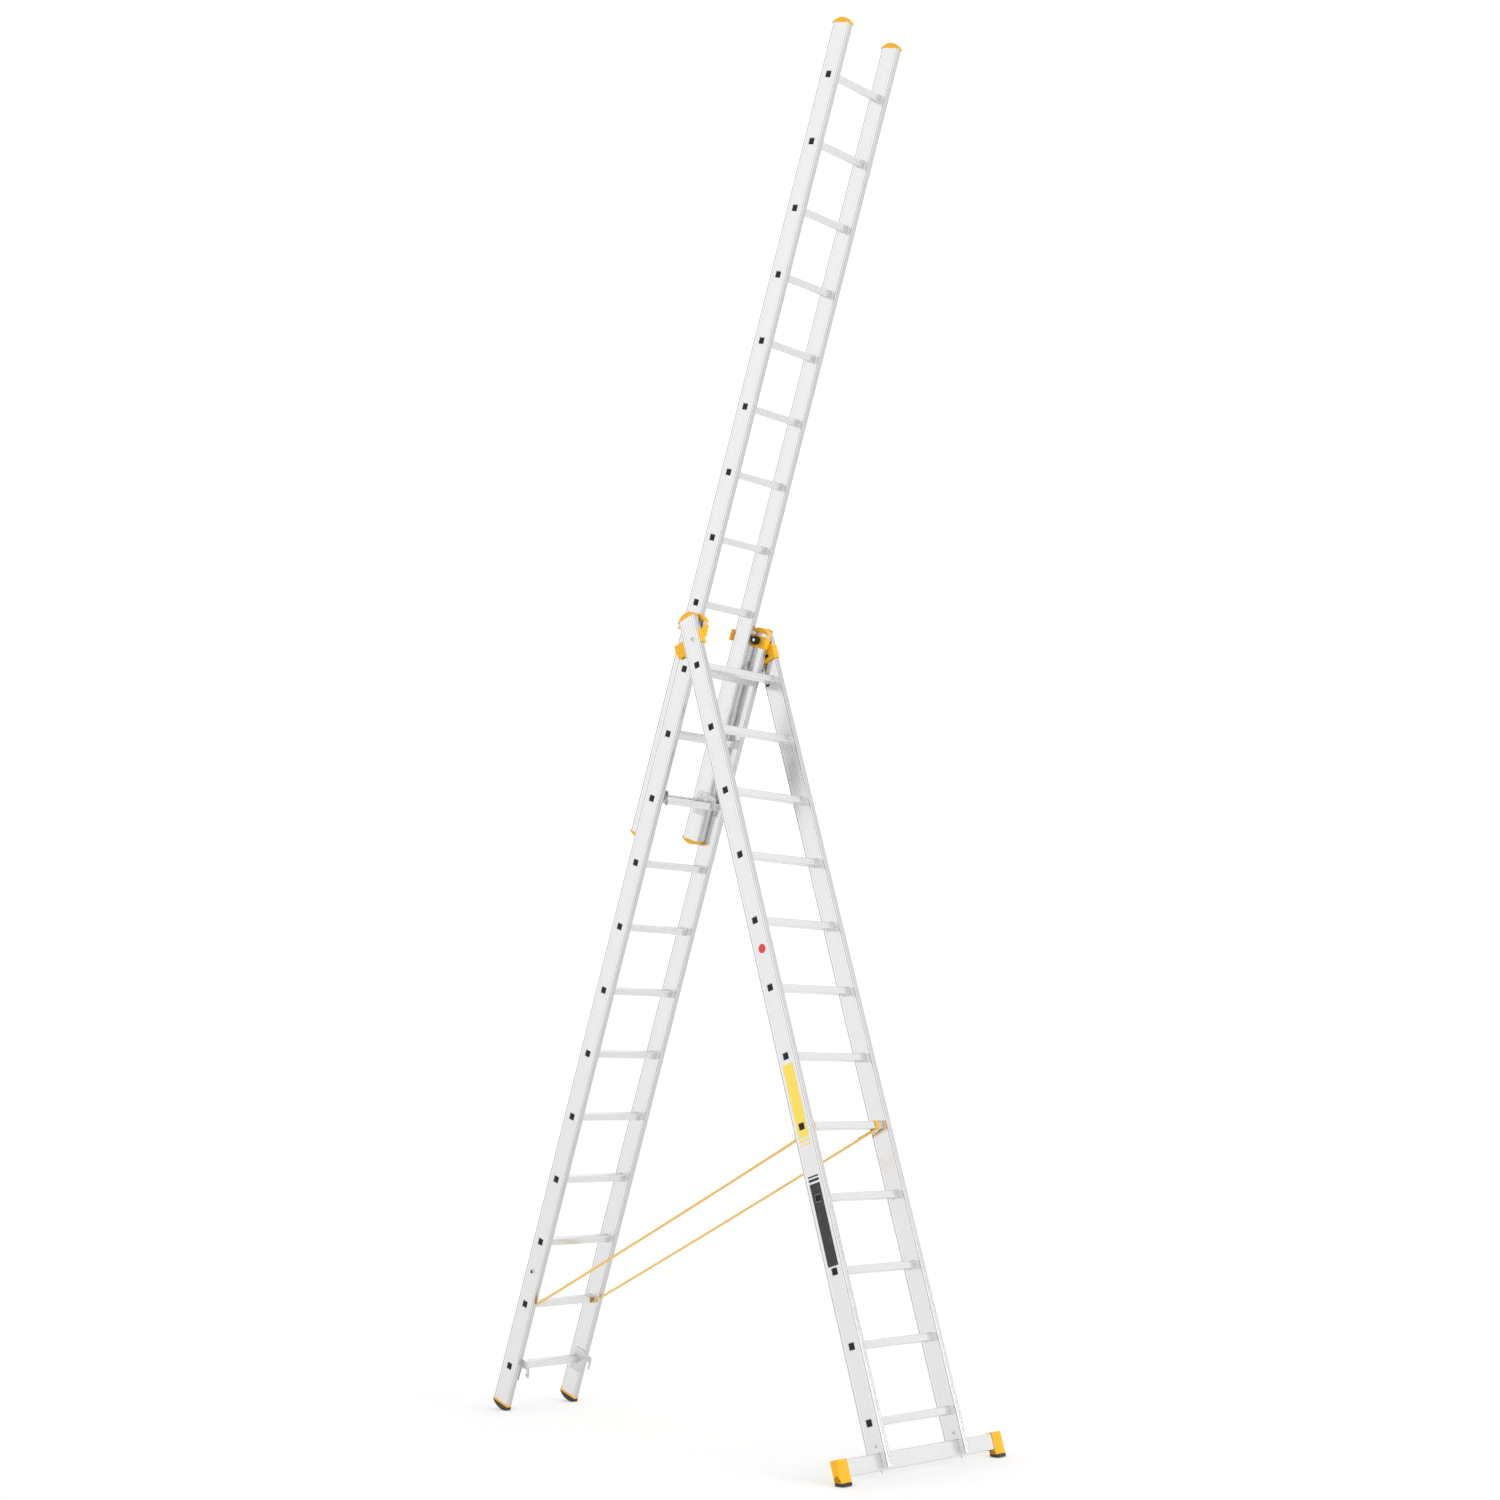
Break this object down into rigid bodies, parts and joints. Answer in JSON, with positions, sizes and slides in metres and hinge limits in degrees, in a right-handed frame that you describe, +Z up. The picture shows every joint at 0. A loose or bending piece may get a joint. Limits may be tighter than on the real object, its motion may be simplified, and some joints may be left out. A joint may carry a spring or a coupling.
{
  "type": "combination ladder",
  "caption": "Free-standing aluminium combination ladder: a hinged A-frame on a wide stabiliser bar, with an upper section that slides up the rear leg.",
  "frame": {"origin": "on the floor, at the middle of the ladder's bounding box", "axes": "+X along the rungs, +Y from the front leg (stabiliser) to the rear leg, +Z up"},
  "size_m": [0.984, 2.2216, 5.7498],
  "materials": {
    "aluminium": "mill-finished extrusion, satin",
    "yellow_plastic": "moulded, fine texture",
    "steel": "zinc-plated sheet",
    "black_plastic": "moulded, satin",
    "rubber": "matt",
    "webbing": "woven flat webbing"
  },
  "bodies": {
    "front_section": {"front_stile_left": "aluminium", "front_stile_right": "aluminium", "front_rung_01": "aluminium", "front_rung_02": "aluminium", "front_rung_03": "aluminium", "front_rung_04": "aluminium", "front_rung_05": "aluminium", "front_rung_06": "aluminium", "front_rung_07": "aluminium", "front_rung_08": "aluminium", "front_rung_09": "aluminium", "front_rung_10": "aluminium", "front_rung_11": "aluminium", "front_rung_12": "aluminium", "stabiliser_bar": "aluminium", "stabiliser_foot_left": "yellow_plastic", "front_bracket_left": "yellow_plastic", "stabiliser_foot_right": "yellow_plastic", "front_bracket_right": "yellow_plastic"},
    "rear_section": {"rear_stile_left": "aluminium", "rear_stile_right": "aluminium", "rear_rung_01": "aluminium", "rear_rung_02": "aluminium", "rear_rung_03": "aluminium", "rear_rung_04": "aluminium", "rear_rung_05": "aluminium", "rear_rung_06": "aluminium", "rear_rung_07": "aluminium", "rear_rung_08": "aluminium", "rear_rung_09": "aluminium", "rear_rung_10": "aluminium", "rear_rung_11": "aluminium", "rear_rung_12": "aluminium", "rear_bracket_left": "yellow_plastic", "rear_hook_left": "steel", "rear_foot_left": "rubber", "strap_left": "webbing", "rear_bracket_right": "yellow_plastic", "rear_hook_right": "steel", "rear_foot_right": "rubber", "strap_right": "webbing"},
    "upper_section": {"upper_stile_left": "aluminium", "upper_stile_right": "aluminium", "upper_rung_01": "aluminium", "upper_rung_02": "aluminium", "upper_rung_03": "aluminium", "upper_rung_04": "aluminium", "upper_rung_05": "aluminium", "upper_rung_06": "aluminium", "upper_rung_07": "aluminium", "upper_rung_08": "aluminium", "upper_rung_09": "aluminium", "upper_rung_10": "aluminium", "upper_rung_11": "aluminium", "upper_rung_12": "aluminium", "upper_hook_left": "steel", "upper_hook_right": "steel"},
    "lock_knob": {"lock_knob": "black_plastic"},
    "rear_latch": {"rear_latch": "steel"},
    "upper_latch": {"upper_latch": "steel"}
  },
  "joints": [
    {"name": "leg_hinge", "type": "hinge", "parent": "front_section", "child": "rear_section", "pos_m": [0, 0.02155, 3.1748], "axis": [1, 0, 0], "range_deg": [-34.5, 0], "deforming": ["strap_left", "strap_right"]},
    {"name": "upper_slide", "type": "slide", "parent": "rear_section", "child": "upper_section", "axis": [0, -0.3115, 0.9502], "range_m": [-2.52, 0]},
    {"name": "lock_pull", "type": "slide", "parent": "rear_section", "child": "lock_knob", "axis": [1, 0, 0], "range_m": [-0.012, 0], "stiffness_N_per_m": 300, "springref_m": 0.004},
    {"name": "rear_latch_swing", "type": "hinge", "parent": "rear_section", "child": "rear_latch", "pos_m": [-0.1776, 0.92603, 0.19096], "axis": [1, 0, 0], "range_deg": [-45, 30]},
    {"name": "upper_latch_swing", "type": "hinge", "parent": "upper_section", "child": "upper_latch", "pos_m": [-0.1406, 0.20376, 2.60614], "axis": [1, 0, 0], "range_deg": [-60, 0]}
  ]
}
